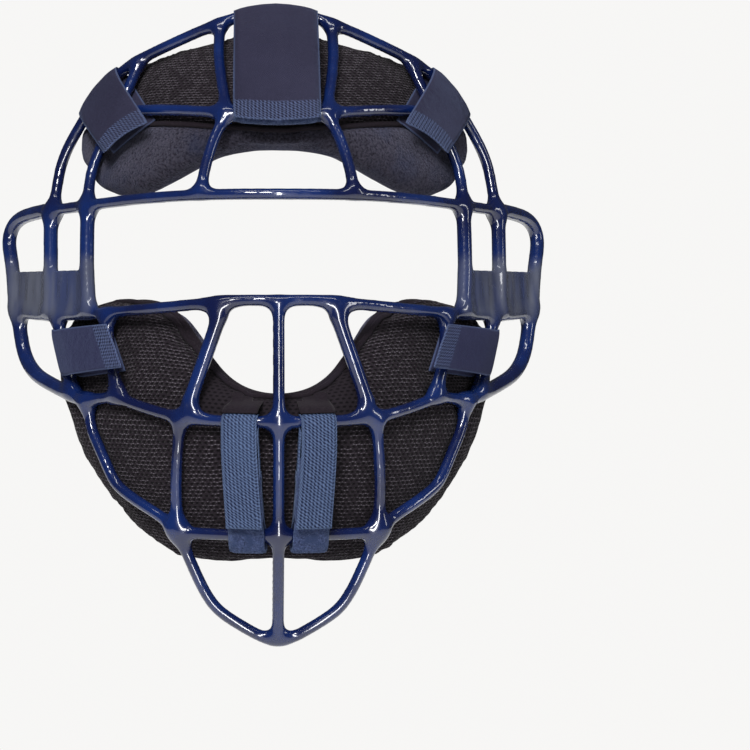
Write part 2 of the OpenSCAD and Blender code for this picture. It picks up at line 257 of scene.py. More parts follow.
def end_ring(co, end):
    """The flat octagon at a wire's end that holds a given corner."""
    close = np.argsort(np.linalg.norm(co - co[end], axis=1))[:24]
    for i in close:
        for j in close:
            normal = np.cross(co[i] - co[end], co[j] - co[end])
            size = np.linalg.norm(normal)
            if size < 1e-8:
                continue
            off = np.abs((co[close] - co[end]) @ (normal / size))
            flat = {int(k) for k, d in zip(close, off) if d < 2e-6}
            middle = co[list(flat)].mean(0)
            spread = np.linalg.norm(co[list(flat)] - middle, axis=1)
            if len(flat) == 8 and spread.max() - spread.min() < 1e-5:
                return flat


def centre_line(name):
    """Middles of the rings that a CAD wire is swept through, from one end to the other."""
    bm = bmesh.new()
    bm.from_mesh(NODES[name].data)
    bmesh.ops.remove_doubles(bm, verts=bm.verts, dist=1e-6)
    near = {v.index: {e.other_vert(v).index for e in v.link_edges} for v in bm.verts}
    co = np.array([v.co for v in bm.verts])
    bm.free()
    ring = end_ring(co, furthest_corner(near, co))
    seen = set()
    line = []
    while ring:
        seen |= ring
        line.append(co[list(ring)].mean(0))
        ring = set().union(*(near[i] for i in ring)) - seen
    return np.array(line)


def even_line(line, step):
    """The same line with points about a step apart."""
    line = np.asarray(line, float)
    along = travelled_along(line)
    count = max(2, int(round(along[-1] / step)) + 1)
    at = np.linspace(0, along[-1], count)
    return read_off(at, along, line)


def left_to_right(line):
    return line[np.argsort(line[:, 0])]


def smoothed(values, rounds):
    """Values along a line, evened out; the two at its ends stay put."""
    for _ in range(rounds):
        values[1:-1] += 0.25 * (values[:-2] - 2 * values[1:-1] + values[2:])
    return values


def rounded_line(line, step, radius):
    """An even line whose kinks are rounded over a radius; its two ends stay put."""
    return smoothed(even_line(line, step), int((radius / step) ** 2))


POSTS = ("crown_upright", "crown_side", "temple_post", "eye_post", "nose_bar", "cheek_post",
         "cheek_upright", "jaw_upright")
WIRE_GROUPS = [
    ["crown_rim"], ["crown_cross_bar"], ["brow_bar", "ear_rail_left", "ear_rail_right"],
    ["cheek_bar"], ["mouth_bar", "jaw_rim_left", "jaw_rim_right"], ["chin_cross_bar"],
    ["chin_loop"], ["centre_bar"],
] + [[post + "_left", post + "_right"] for post in POSTS]
WIRES = [name for group in WIRE_GROUPS for name in group]
PLATES = ["temple_plate_left", "temple_plate_right"]
STEMS = (*POSTS, "crown_cross_bar", "centre_bar")
STEM_TRIM = 3                 # points left off each end of a stem
NOSE_TRIM = 6                 # and of a nose bar
THICK = ("ear_rail", "temple_post", "eye_post")
WIDE_WEBS = {"nose_bar": 12 * MM, "cheek_upright": 8 * MM}
RIB_POINTS = 7                # points of each upright line through a temple plate
RIB_GAP = 0.45 * MM           # distance between those lines
STEP = 1.5 * MM               # distance between the points of a wire's middle line


class Field:
    """Distance to a set of capsules, on a grid over the cage."""

    def __init__(self):
        boxes = [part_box(name) for name in WIRES]
        margin = REACH + 2 * VOXEL
        self.low = np.min([b[0] for b in boxes], axis=0) - margin
        high = np.max([b[1] for b in boxes], axis=0) + margin
        self.shape = tuple(int(n) for n in np.ceil((high - self.low) / VOXEL) + 1)
        self.value = np.full(self.shape, REACH, np.float32)

    def capsule(self, a, b, radius, grid):
        low = np.minimum(a, b) - REACH
        high = np.maximum(a, b) + REACH
        i = np.maximum(0, np.floor((low - self.low) / VOXEL).astype(int))
        j = np.minimum(self.shape, np.ceil((high - self.low) / VOXEL).astype(int) + 1)
        axes = [self.low[k] + VOXEL * np.arange(i[k], j[k]) for k in range(3)]
        x, y, z = np.meshgrid(*axes, indexing="ij", sparse=True)
        d = b - a
        along = ((x - a[0]) * d[0] + (y - a[1]) * d[1] + (z - a[2]) * d[2]) / max(d @ d, 1e-12)
        along = np.clip(along, 0, 1)
        distance = np.sqrt((x - a[0] - along * d[0]) ** 2 + (y - a[1] - along * d[1]) ** 2
                           + (z - a[2] - along * d[2]) ** 2) - radius
        part = grid[i[0]:j[0], i[1]:j[1], i[2]:j[2]]
        np.minimum(part, distance, out=part)

    def blend(self, grid, web):
        """Joins a grid to the field, with the coating drawn into a web where they meet."""
        gap = np.maximum(web - np.abs(self.value - grid), 0) / web
        np.minimum(self.value, grid, out=self.value)
        self.value -= gap * gap * web / 4

    def sample(self, points):
        """Distance at each point, between the grid's values."""
        place = (np.asarray(points) - self.low) / VOXEL
        base = np.clip(np.floor(place).astype(int), 0, np.array(self.shape) - 2)
        part = np.clip(place - base, 0, 1)
        total = np.zeros(len(base))
        for corner in np.ndindex(2, 2, 2):
            share = np.prod(np.where(corner, part, 1 - part), axis=1)
            total += share * self.value[tuple((base + corner).T)]
        return total

    def slope(self, points):
        """Direction straight away from the coating at each point."""
        step = VOXEL
        out = np.stack([self.sample(points + step * axis) - self.sample(points - step * axis)
                        for axis in np.eye(3)], 1)
        return unit(out)


def plate_ribs(name):
    """Upright lines through the middle of a temple plate, with the radius of each stretch."""
    low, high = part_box(name)
    tree = node_tree([name])
    ribs = []
    travelled = 0
    before = None
    for x in np.arange(low.x + 1.5 * MM, high.x - 1.5 * MM, RIB_GAP):
        rib = []
        for z in np.linspace(low.z + 2.2 * MM, high.z - 2.2 * MM, RIB_POINTS):
            front = tree.ray_cast(Vector((x, -1, z)), Vector((0, 1, 0)))[0]
            back = tree.ray_cast(Vector((x, 1, z)), Vector((0, -1, 0)))[0]
            if front and back:
                rib.append(np.array((front + back) / 2))
        if len(rib) == RIB_POINTS:
            travelled += np.linalg.norm(rib[1] - before) if before is not None else 0
            before = rib[1]
            turn = 2 * math.pi * travelled / PLATE_PITCH
            wave = 0.6 * math.sin(turn) + 0.4 * math.sin(2.7 * turn + 1.3)
            # The ripples fade out towards the plate's upper and lower edge.
            fade = np.sin(np.pi * (np.arange(RIB_POINTS - 1) + 0.5) / (RIB_POINTS - 1))
            ribs.append((rib, PLATE_R + PLATE_WAVE * wave * fade))
    return ribs


def coating_field():
    field = Field()
    for group in WIRE_GROUPS:
        grid = np.full(field.shape, REACH, np.float32)
        for name in group:
            line = rounded_line(centre_line(name), STEP, 4 * MM)
            if name.startswith(STEMS):
                # A stem stops short of its bar's middle, so that it raises no lump beyond it.
                trim = NOSE_TRIM if name.startswith("nose_bar") else STEM_TRIM
                line = line[trim:-trim]
            radius = THICK_R if name.startswith(THICK) else WIRE_R
            for a, b in zip(line[:-1], line[1:]):
                field.capsule(a, b, radius, grid)
        field.blend(grid, WIDE_WEBS.get(group[0].removesuffix("_left"), WEB))
    grid = np.full(field.shape, REACH, np.float32)
    for name in PLATES:
        for rib, radii in plate_ribs(name):
            for a, b, radius in zip(rib[:-1], rib[1:], radii):
                field.capsule(a, b, radius, grid)
    field.blend(grid, WEB / 2)
    return field


def make_cage(field, material):
    grid = openvdb.FloatGrid(float(REACH))
    grid.copyFromArray(field.value)
    points, triangles, quads = grid.convertToPolygons(isovalue=0.0)
    points = points.astype(float) * VOXEL + field.low
    faces = [tuple(int(i) for i in f[::-1]) for f in list(triangles) + list(quads)]
    cage = mesh_object("coated_cage", points, faces, material)
    relax = cage.modifiers.new("relax", "SMOOTH")
    relax.factor = 0.5
    relax.iterations = 4
    apply_modifiers(cage)
    plates = node_tree(PLATES)
    # How near each point is to a temple plate, where the coating turns greyer and carries painted
    # reflection streaks.
    away = [plates.find_nearest(Vector(p), 30 * MM)[3] for p in positions(cage)]
    plate_grey_and_reflection = [0.0 if d is None else float(1 - smoothstep(d / (9 * MM))) for d in away]
    add_mark(cage, "plate_grey_and_reflection", plate_grey_and_reflection)
    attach(cage, "mask")
    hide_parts(*WIRES, *PLATES)


# ---- Pads ----

def pad_body(pad):
    """A pad's outer skin as one closed mesh: its CAD layers fused, a little smaller."""
    bm = bmesh.new()
    for layer in PAD_LAYERS:
        bm.from_mesh(NODES[f"{pad}_{layer}"].data)
    piece = from_bmesh(pad + "_body", bm)
    even = piece.modifiers.new("even", "REMESH")
    even.mode = "VOXEL"
    even.voxel_size = PAD_VOXEL
    apply_modifiers(piece)
    set_positions(piece, positions(piece) - PAD_SHRINK * normals(piece))
    return piece


def inflate(piece, quiet):
    """Swells a pad with cloth simulation. quiet is 0 where it is held flat and 1 where free."""
    rest = positions(piece)
    cloth = piece.modifiers.new("cloth", "CLOTH")
    cloth.settings.use_pressure = True
    cloth.settings.uniform_pressure_force = PRESSURE
    cloth.settings.effector_weights.gravity = 0
    for frame_number in range(1, CLOTH_FRAMES + 1):
        bpy.context.scene.frame_set(frame_number)
    apply_modifiers(piece)
    bpy.context.scene.frame_set(1)
    moved = positions(piece) - rest
    length = np.linalg.norm(moved, axis=1)
    moved *= (quiet * np.minimum(1, PAD_PUFF / np.maximum(length, 1e-9)))[:, None]
    set_positions(piece, rest + moved)


def fill_outline(piece):
    """Widens a pad as seen from in front, where the remesh and the shrinking drew it in."""
    sideways = normals(piece)
    sideways[:, 1] = 0
    set_positions(piece, positions(piece) + OUTLINE_GROW * sideways)


def relaxed(value, piece, rounds):
    """A value per corner, evened out over its neighbours but never made smaller."""
    ends = np.zeros(len(piece.data.edges) * 2, np.int32)
    piece.data.edges.foreach_get("vertices", ends)
    ends = ends.reshape(-1, 2)
    count = np.zeros(len(value))
    np.add.at(count, ends.ravel(), 1)
    for _ in range(rounds):
        total = np.zeros(len(value))
        np.add.at(total, ends[:, 0], value[ends[:, 1]])
        np.add.at(total, ends[:, 1], value[ends[:, 0]])
        value = np.maximum(value, 0.9 * total / np.maximum(count, 1))
    return value


def pushed_clear(points, field, gap):
    """Points moved straight away from the coating, and back, where they are too near it."""
    short = np.maximum(gap - field.sample(points), 0)
    slope = field.slope(points)
    slope[:, 1] = np.abs(slope[:, 1])
    return points + slope * short[:, None]


def press_back(piece, field):
    """Pushes a pad back from the coating, with a soft valley along each wire."""
    for _ in range(4):
        place = positions(piece)
        short = np.maximum(WIRE_CLEAR - field.sample(place), 0)
        place[:, 1] += relaxed(short, piece, 3)
        set_positions(piece, place)
    for _ in range(6):
        set_positions(piece, pushed_clear(positions(piece), field, WIRE_CLEAR))


def seam_height(pad, across):
    """Height of the seam on a pad's front, below which the plush comes round from behind."""
    if pad == "lower_pad":
        return np.full(len(across), CAD_BOX[0][2])
    bar = left_to_right(centre_line("crown_cross_bar"))
    return np.interp(across, bar[:, 0], bar[:, 2]) - 6 * MM


def mark_plush(piece, pad):
    """Gives the faces that the plush lining covers the second material."""
    cover, lining = node_tree([pad + "_cover"]), node_tree([pad + "_lining"])
    middles = np.array([p.center for p in piece.data.polygons])
    seam = seam_height(pad, middles[:, 0])
    for face, middle, height in zip(piece.data.polygons, middles, seam):
        to_cover = cover.find_nearest(Vector(middle))[3]
        to_lining = lining.find_nearest(Vector(middle))[3]
        face.material_index = int(to_lining < to_cover or middle[2] < height)


def chains(pairs):
    """Closed or open runs of corners from pairs that share an edge."""
    near = {}
    for a, b in pairs:
        near.setdefault(a, []).append(b)
        near.setdefault(b, []).append(a)
    runs = []
    while near:
        here = min(near, key=lambda i: (len(near[i]), i))
        run = [here]
        while near.get(here):
            ahead = near[here].pop(0)
            near[ahead].remove(here)
            run.append(ahead)
            here = ahead
        runs.append(run)
        near = {i: n for i, n in near.items() if n}
    return runs


def seam_lines(piece):
    """Smooth lines along the places where a pad's two fabrics meet."""
    bm = bmesh.new()
    bm.from_mesh(piece.data)
    pairs = [(e.verts[0].index, e.verts[1].index) for e in bm.edges
             if len(e.link_faces) == 2
             and e.link_faces[0].material_index != e.link_faces[1].material_index]
    bm.free()
    place = positions(piece)
    skin = skin_tree(piece)
    lines = []
    for run in chains(pairs):
        if len(run) < 30:
            continue
        line = place[run]
        closed = run[0] == run[-1]
        if closed:
            line = line[:-1]
            for _ in range(16):
                line = line + 0.25 * (np.roll(line, 1, 0) - 2 * line + np.roll(line, -1, 0))
            line = np.vstack([line, line[:1]])
        line = rounded_line(line, STEP, 4 * MM)
        hits = [skin.find_nearest(Vector(p)) for p in line]
        lines.append((np.array([h[0] for h in hits]), np.array([h[1] for h in hits]), closed))
    return lines


def groove(piece, line):
    """Draws a pad's skin in along a seam."""
    tree = KDTree(len(line))
    for i, p in enumerate(line):
        tree.insert(Vector(p), i)
    tree.balance()
    place = positions(piece)
    away = np.array([tree.find(Vector(p))[2] for p in place])
    depth = GROOVE_DEPTH * np.exp(-(away / GROOVE_WIDTH) ** 2)
    set_positions(piece, place - normals(piece) * depth[:, None])


def fabric_layer(piece, pad):
    """Map of a pad's skin: distance along the face from the middle, and height."""
    bar = "crown_cross_bar" if pad == "upper_pad" else "cheek_bar"
    front = left_to_right(centre_line(bar))
    along = travelled_along(front[:, :2])
    place = positions(piece)
    middle = (place[:, 2].min() + place[:, 2].max()) / 2
    depth = place[:, 1] - np.interp(place[:, 0], front[:, 0], front[:, 1])
    across = np.interp(place[:, 0], front[:, 0], along) - along[-1] / 2
    across = across + np.tanh(place[:, 0] / 0.03) * depth * 0.8
    up = place[:, 2] + np.tanh((place[:, 2] - middle) / 0.01) * depth * 0.6
    add_map(piece, "cloth", np.stack([across, up], 1))


def sweep(name, line, across, outline, material, closed=False):
    """A bar along a line; outline gives each ring's points as (along across, away from it)."""
    line = np.asarray(line)
    if closed:
        line, across = line[:-1], across[:-1]
        ahead = np.roll(line, -1, 0) - np.roll(line, 1, 0)
    else:
        ahead = np.gradient(line, axis=0)
    ahead = unit(ahead)
    across = unit(across - ahead * np.sum(across * ahead, 1)[:, None])
    away = np.cross(ahead, across)
    points = [p + a * s + n * t for p, a, n in zip(line, across, away) for s, t in outline]
    sides = len(outline)
    rings = len(line)
    faces = []
    for i in range(rings if closed else rings - 1):
        a, b = i * sides, (i + 1) % rings * sides
        faces += [(a + k, a + (k + 1) % sides, b + (k + 1) % sides, b + k) for k in range(sides)]
    if not closed:
        faces += [list(range(sides))[::-1], [(rings - 1) * sides + k for k in range(sides)]]
    return mesh_object(name, points, faces, material)


def circle(radius, sides=12):
    turns = [2 * math.pi * k / sides for k in range(sides)]
    return [(radius * math.cos(turn), radius * math.sin(turn)) for turn in turns]


def stitch_row(name, line, normal, material, pitch=3.2 * MM, length=2.1 * MM):
    """A row of stitches: short round threads whose ends dip into the cloth."""
    line = np.asarray(line)
    along = travelled_along(line)
    bm = bmesh.new()
    sides, rings = 6, 5
    for start in np.arange(pitch / 2, along[-1] - length, pitch):
        at = start + length * np.linspace(0, 1, rings)
        middle = read_off(at, along, line)
        up = read_off(at, along, normal)
        rise = np.sin(np.pi * np.linspace(0, 1, rings))
        ahead = unit(middle[-1] - middle[0])
        grid = []
        for p, n, h in zip(middle, up, rise):
            side = unit(np.cross(ahead, n))
            r = THREAD_R * (0.55 + 0.45 * h)
            p = p + n * (h - 0.8) * THREAD_R
            grid.append([bm.verts.new(p + x * side + y * n) for x, y in circle(r, sides)])
        for a, b in zip(grid[:-1], grid[1:]):
            for k in range(sides):
                m = (k + 1) % sides
                bm.faces.new((a[k], b[k], b[m], a[m]))
        bm.faces.new(grid[0])
        bm.faces.new(grid[-1][::-1])
    return from_bmesh(name, bm, material)


def beside(line, normal, tree, distance):
    """A line that far to the side of another on a skin, and the skin's direction there."""
    side = unit(np.cross(np.gradient(line, axis=0), normal))
    hits = [tree.find_nearest(Vector(p)) for p in line + side * distance]
    return np.array([h[0] for h in hits]), np.array([h[1] for h in hits])


def make_pad(pad, field, cover, plush, binding, thread):
    tapes = node_tree([strap + "_loop" for strap in STRAPS])
    piece = pad_body(pad)
    away = np.array([tapes.find_nearest(Vector(p))[3] for p in positions(piece)])
    inflate(piece, smoothstep((away - 1 * MM) / (9 * MM)))
    piece.modifiers.new("finer", "SUBSURF").levels = 1
    apply_modifiers(piece)
    fill_outline(piece)
    press_back(piece, field)
    piece.data.materials.clear()
    piece.data.materials.append(cover)
    piece.data.materials.append(plush)
    mark_plush(piece, pad)
    lines = seam_lines(piece)
    for line, _, _ in lines:
        groove(piece, line)
    fabric_layer(piece, pad)
    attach(piece, "mask")
    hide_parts(*[f"{pad}_{layer}" for layer in PAD_LAYERS])
    sew_seams(pad, piece, lines, binding, thread)
    return piece


def sew_seams(pad, skin, lines, binding, thread):
    """Piping along each of a pad's seams, with a row of stitches beside it."""
    tree = skin_tree(skin)
    for i, (line, normal, closed) in enumerate(lines):
        raised = line - normal * 0.4 * MM
        cord = sweep(f"{pad}_piping_{i + 1}", raised, normal, circle(PIPING_R), binding, closed)
        at, up = beside(line, normal, tree, 2.4 * MM)
        stitches = stitch_row(f"{pad}_seam_stitches_{i + 1}", at, up, thread)
        for extra in (cord, stitches):
            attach(extra, "mask")


def make_binding(pad, skin, field, material, thread):
    """The folded tape sewn over a pad's upper edge."""
    line = rounded_line(centre_line(pad + "_binding"), STEP, 5 * MM)
    tree = skin_tree(skin)
    on_skin = np.array([tree.find_nearest(Vector(p))[0] for p in line])
    middle = rounded_line(on_skin, STEP, 7 * MM)
    for _ in range(4):
        middle = pushed_clear(middle, field, WIRE_CLEAR + BINDING_R)
    middle = rounded_line(middle, STEP, 6 * MM)
    normal = smoothed(np.array([tree.find_nearest(Vector(p))[1] for p in middle]), 20)
    outline = [(x * 0.8, y * 1.25) for x, y in circle(BINDING_R, 16)]
    piece = sweep(pad + "_edge_tape", middle, normal, outline, material)
    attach(piece, "mask")
    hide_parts(pad + "_binding")
    at, up = beside(middle, normal, skin_tree(piece), 1.9 * MM)
    row = stitch_row(pad + "_edge_stitches", at, up, thread)
    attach(row, "mask")


# ---- Straps ----

class Strap:
    """Where a strap's tapes lie, in its own directions: across, along and out of the tape."""

    def __init__(self, name):
        self.name = name
        joint = JOINTS[name + "_open"]
        self.body = joint["child"]
        self.pivot = np.array(joint["pos_m"])
        self.across = np.array(joint["axis"])
        self.flap_tree = node_tree([name + "_flap"])
        self.loop_tree = node_tree([name + "_loop"])
        flap = np.array([v.co for v in NODES[name + "_flap"].data.vertices])
        spread = flap - flap.mean(0)
        out = np.linalg.svd(spread, full_matrices=False)[2][2]
        out = unit(out - self.across * (out @ self.across))
        ahead = flap.mean(0) - self.pivot
        if np.cross(self.across, ahead) @ out < 0:
            out = -out
        self.out = out
        self.ahead = np.cross(out, self.across)
        local = self.local(flap)
        right, left = local @ [1, 1, 0], local @ [-1, 1, 0]
        self.far = [local[left.argmax()], local[right.argmax()]]
        self.near = [local[right.argmin()], local[left.argmin()]]
        fold, bar = STRAPS[name]
        self.fold = self.local(centre_line(fold))
        self.bar = self.local(centre_line(bar)) if bar else None

    def local(self, points):
        offset = np.asarray(points) - self.pivot
        return np.stack([offset @ self.across, offset @ self.ahead, offset @ self.out], -1)

    def world(self, u, v, w):
        return self.pivot + u * self.across + v * self.ahead + w * self.out

    def wire_at(self, line, u):
        """A wire's place along and out of the tape, at a place across it."""
        ahead = np.abs(line[:, 1] - line[:, 1].mean())
        line = left_to_right(line[(np.abs(line[:, 0]) < WIRE_SPAN) & (ahead < WIRE_DROP)])
        return np.array([np.interp(u, line[:, 0], line[:, k]) for k in (1, 2)])

    def height(self, tree, s, t, from_front):
        """Middle of a tape at a place, found by a ray along the out direction."""
        u, v = self.place(min(max(s, 0.04), 0.96), t)
        sign = 1 if from_front else -1
        start = Vector(self.world(u, v, sign * RAY))
        hit = tree.ray_cast(start, Vector(-sign * self.out), 2 * RAY)[0]
        return None if hit is None else self.local(hit)[2] - sign * TAPE / 2

    def place(self, s, t):
        """Across and ahead of the fold, at shares of the flap's width and length."""
        near, far = self.column(s)
        return (near * (1 - t) + far * t)[:2]

    def reach(self, s):
        """Share of the length at which the flap ends on a lengthwise line."""
        for t in np.arange(1.2, 0.8, -0.004):
            if self.height(self.flap_tree, s, t, True) is not None:
                return t
        return 1.0

    def column(self, s):
        """Ends of one lengthwise line of the flap, s going from 0 to 1 across it."""
        inset = 0.01 + 0.98 * s
        near = self.near[0] * (1 - inset) + self.near[1] * inset
        far = self.far[0] * (1 - inset) + self.far[1] * inset
        return near, far

    def run(self, tree, from_front, s, shares):
        """Points of a tape at shares of the distance from the fold to the flap's end."""
        found = [(t, self.height(tree, s, t, from_front)) for t in shares]
        known = sorted((t, w) for t, w in found if w is not None)
        heights = np.interp(shares, *zip(*known))
        return [(*self.place(s, t), w) for t, w in zip(shares, heights)]

    def front_run(self, s, share_a, share_b, count=9):
        return self.run(self.flap_tree, True, s,
                        np.linspace(share_a, share_b, count) * self.reach(s))

    def fold_ring(self, s):
        """Round the wire, from behind it to its front."""
        near, _ = self.column(s)
        v0, w0 = self.wire_at(self.fold, near[0])
        ring = []
        for angle in np.linspace(math.pi, math.radians(8), 13):
            share = smoothstep(1 - 3 * angle / math.pi)
            r = RING_BACK + (RING_FRONT - RING_BACK) * share
            ring.append((near[0], v0 - r * math.sin(angle), w0 + r * math.cos(angle)))
        return ring

    def back_run(self, s, share_a, share_b, count=9):
        return self.run(self.loop_tree, False, s, np.linspace(share_a, share_b, count))

    def bar_ring(self, s, droop):
        """Round the second wire, from behind it to its front."""
        _, far = self.column(s)
        v1, w1 = self.wire_at(self.bar, far[0])
        r = RING_BACK - 0.2 * MM
        ring = []
        for angle in np.linspace(math.pi, 0, 13):
            ring.append((far[0], v1 + (r + droop) * math.sin(angle), w1 + r * math.cos(angle)))
        return ring

    def loop_front(self, s):
        """The loop tape's end, going back towards the fold in front of the second wire."""
        near, far = self.column(s)
        bar_share = (self.wire_at(self.bar, far[0])[0] - near[1]) / (far[1] - near[1])
        step = 0.5 * MM / (far[1] - near[1])
        found = []
        for k in range(8, 80):
            t = bar_share - k * step
            w = self.height(self.loop_tree, s, t, True)
            if w is None or (found and w < found[-1][2] - 2 * MM):
                break
            found.append((*self.place(s, t), w))
        keep = np.linspace(0, len(found) - 1, 8).round().astype(int)
        return [found[k] for k in keep]

    def main_tape(self, s):
        """Up behind the wire, over it and down in front of it to the flap's end."""
        lift = EDGE_LIFT * (2 * s - 1) ** 2
        shares = np.linspace(0.12, 1.0, 12)
        dips = DIP * (1 - smoothstep(shares / 0.35))
        front = [(u, v, w + lift - dip)
                 for (u, v, w), dip in zip(self.front_run(s, 0.12, 1.0, 12), dips)]
        u, v, w = front[-1]
        front[-1] = (u, v, w + 0.7 * MM)
        reach_back = 0.8 if self.bar is None else 0.55
        return self.back_run(s, reach_back, 0.15) + self.fold_ring(s) + front

    def hook_patch(self, s):
        """Under the flap's outer half, a little narrower than the flap."""
        gap = (TAPE + HOOK) / 2
        return [(u, v, w - gap) for u, v, w in self.front_run(0.06 + 0.88 * s, 0.5, 0.96, 10)]

    def loop_tape(self, s):
        """Down from under the main tape's end, round the second wire and up in front of it."""
        droop = DROOP if self.name.startswith("chin") else 0.8 * MM
        behind = self.back_run(s, 0.5, 0.88, 7)
        tucked = [(u, v, w - TUCK * (k < 2)) for k, (u, v, w) in enumerate(behind)]
        return tucked + self.bar_ring(s, droop) + self.loop_front(s)

    def base_tab(self, s, skin):
        """From under the wire down on to the pad, where it is sewn."""
        near, _ = self.column(s)
        v0, w0 = self.wire_at(self.fold, near[0])
        lean = 0.88 * near[0] - 0.8 * MM
        line = [(near[0], v0 - 4.2 * MM, w0 + 2.2 * MM), (near[0], v0 - 6.2 * MM, w0 - 1 * MM)]
        for rise in (8 * MM, 10 * MM, 12 * MM):
            start = Vector(self.world(lean, v0 - rise, RAY))
            hit = skin.ray_cast(start, Vector(-self.out), 0.08)[0]
            if hit:
                line.append((lean, v0 - rise, self.local(hit)[2] + 0.4 * MM))
        return line

    def solid(self, ending, build, thick, material):
        """A tape of this strap, from build(s), which gives one lengthwise line of it."""
        columns = [[self.world(*p) for p in build(s)] for s in WIDTH_SHARES]
        return tape_solid(self.name + ending, columns, thick, material)


def even_columns(columns):
    """Lengthwise lines of a tape, rounded, and all with as many points as the first."""
    lines = [rounded_line(np.array(column), 1.2 * MM, 1.6 * MM) for column in columns]
    even = np.linspace(0, 1, len(lines[0]))
    return np.array([read_off(even, np.linspace(0, 1, len(line)), line) for line in lines])


def tape_faces(rows, columns):
    """A tape's front and back, and the narrow wall all round between them."""
    size = rows * columns
    index = np.arange(size).reshape(rows, columns)
    front = grid_faces(rows, columns)
    faces = front + [(a + size, d + size, c + size, b + size) for a, b, c, d in front]
    for run in (index[0].tolist(), index[:, -1].tolist()):
        faces += [(p, q, q + size, p + size) for p, q in zip(run[:-1], run[1:])]
    for run in (index[-1].tolist(), index[:, 0].tolist()):
        faces += [(p, p + size, q + size, q) for p, q in zip(run[:-1], run[1:])]
    return faces


def tape_solid(name, columns, thick, material):
    """A tape from lengthwise lines of points, with a map and the distances to its edge and end."""
    grid = even_columns(columns)
    out = unit(np.cross(np.gradient(grid, axis=0), np.gradient(grid, axis=1)))
    width = np.linalg.norm(grid[-1] - grid[0], axis=1).mean()
    length = travelled_along(grid[len(grid) // 2])
    tail = length[-1] - length
    share = np.linspace(-1, 1, len(grid))
    # The tape is thinner along its edges and at its two ends.
    full = (1 - np.abs(share) ** 6) * 0.7 + 0.3
    ends = np.minimum(1, 0.35 + np.minimum(length, tail) / (2 * thick))
    half = (thick / 2 * full[:, None] * ends)[:, :, None]
    points = np.concatenate([(grid + half * out).reshape(-1, 3), (grid - half * out).reshape(-1, 3)])
    piece = mesh_object(name, points, tape_faces(*grid.shape[:2]), material)
    across, along = np.broadcast_arrays(share[:, None] * width / 2, length)
    inward = width / 2 * (1 - np.abs(share))
    edge = np.minimum(inward[:, None], np.minimum(length, tail))
    add_map(piece, "tape", np.tile(np.stack([across.ravel(), along.ravel()], 1), (2, 1)))
    add_mark(piece, "edge", np.tile(edge.ravel(), 2))
    add_mark(piece, "tail", np.tile(tail, 2 * len(grid)))
    return piece


def make_strap(name, skin, tape, fuzz, hooks, dark):
    strap = Strap(name)
    piece = strap.solid("_tape", strap.main_tape, TAPE, tape)
    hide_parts(name + "_flap", name + "_loop")
    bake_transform(piece)

    patch = strap.solid("_hook_patch", strap.hook_patch, HOOK, hooks)
    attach(patch, strap.body)
    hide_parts(name + "_hook")

    if strap.bar is not None:
        loop = strap.solid("_loop_tape", strap.loop_tape, TAPE, fuzz)
        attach(loop, "mask")

    if name.startswith("chin"):
        stub = strap.solid("_base", lambda s: strap.base_tab(s, skin), TAPE, dark)
        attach(stub, "mask")


# ---- Materials ----

class Nodes:
    """Short calls for building a material."""

    def __init__(self, name):
        self.material = bpy.data.materials.new(name)
        self.material.use_nodes = True
        self.tree = self.material.node_tree
        self.shader = self.tree.nodes["Principled BSDF"]

    def add(self, kind, inputs=None, **settings):
        node = self.tree.nodes.new(kind)
        for key, value in settings.items():
            setattr(node, key, value)
        for key, value in (inputs or {}).items():
            self.put(node.inputs[key], value)
        return node

    def put(self, socket, value):
        if isinstance(value, bpy.types.NodeSocket):
            self.tree.links.new(value, socket)
        else:
            socket.default_value = value

    def set(self, **values):
        for key, value in values.items():
            self.put(self.shader.inputs[key.replace("_", " ")], value)

    def math(self, operation, a, b=0.0, clamp=False):
        return self.add("ShaderNodeMath", {0: a, 1: b}, operation=operation,
                        use_clamp=clamp).outputs[0]

    def times(self, a, b, clamp=False):
        return self.math("MULTIPLY", a, b, clamp)

    def plus(self, a, b, clamp=False):
        return self.math("ADD", a, b, clamp)

    def minus(self, a, b):
        return self.math("SUBTRACT", a, b)

    def wave(self, value, pitch):
        return self.math("SINE", self.times(value, 2 * math.pi / pitch))

    def mark(self, name):
        return self.add("ShaderNodeAttribute", attribute_name=name).outputs["Fac"]

    def mix(self, amount, a, b):
        return self.add("ShaderNodeMix", {0: amount, 6: a, 7: b}, data_type="RGBA").outputs[2]

    def ramp(self, value, low, high):
        """0 at low and 1 at high, with a smooth rise between them."""
        return self.add("ShaderNodeMapRange", {0: value, 1: low, 2: high},
                        interpolation_type="SMOOTHSTEP").outputs[0]

    def noise(self, scale, detail=3.0, vector=None, roughness=0.5):
        inputs = {"Vector": vector or self.place(), "Scale": scale, "Detail": detail,
                  "Roughness": roughness}
        return self.add("ShaderNodeTexNoise", inputs).outputs[0]

    def place(self):
        return self.add("ShaderNodeTexCoord").outputs["Object"]

    def uv(self, layer):
        return self.add("ShaderNodeUVMap", uv_map=layer).outputs[0]

    def split(self, vector):
        return self.add("ShaderNodeSeparateXYZ", {0: vector}).outputs

    def bump(self, height, distance, strength=1.0, before=None):
        inputs = {"Height": height, "Distance": distance, "Strength": strength}
        if before:
            inputs["Normal"] = before
        return self.add("ShaderNodeBump", inputs).outputs[0]

    def cloth(self, colour, roughness, sheen, normal, mirror=0.08, **more):
        """The finished material of a matt fabric."""
        self.set(Base_Color=colour, Roughness=roughness, Specular_IOR_Level=mirror,
                 Sheen_Weight=sheen, Normal=normal, **more)
        return self.material


def rgb(red, green, blue):
    return (red, green, blue, 1.0)


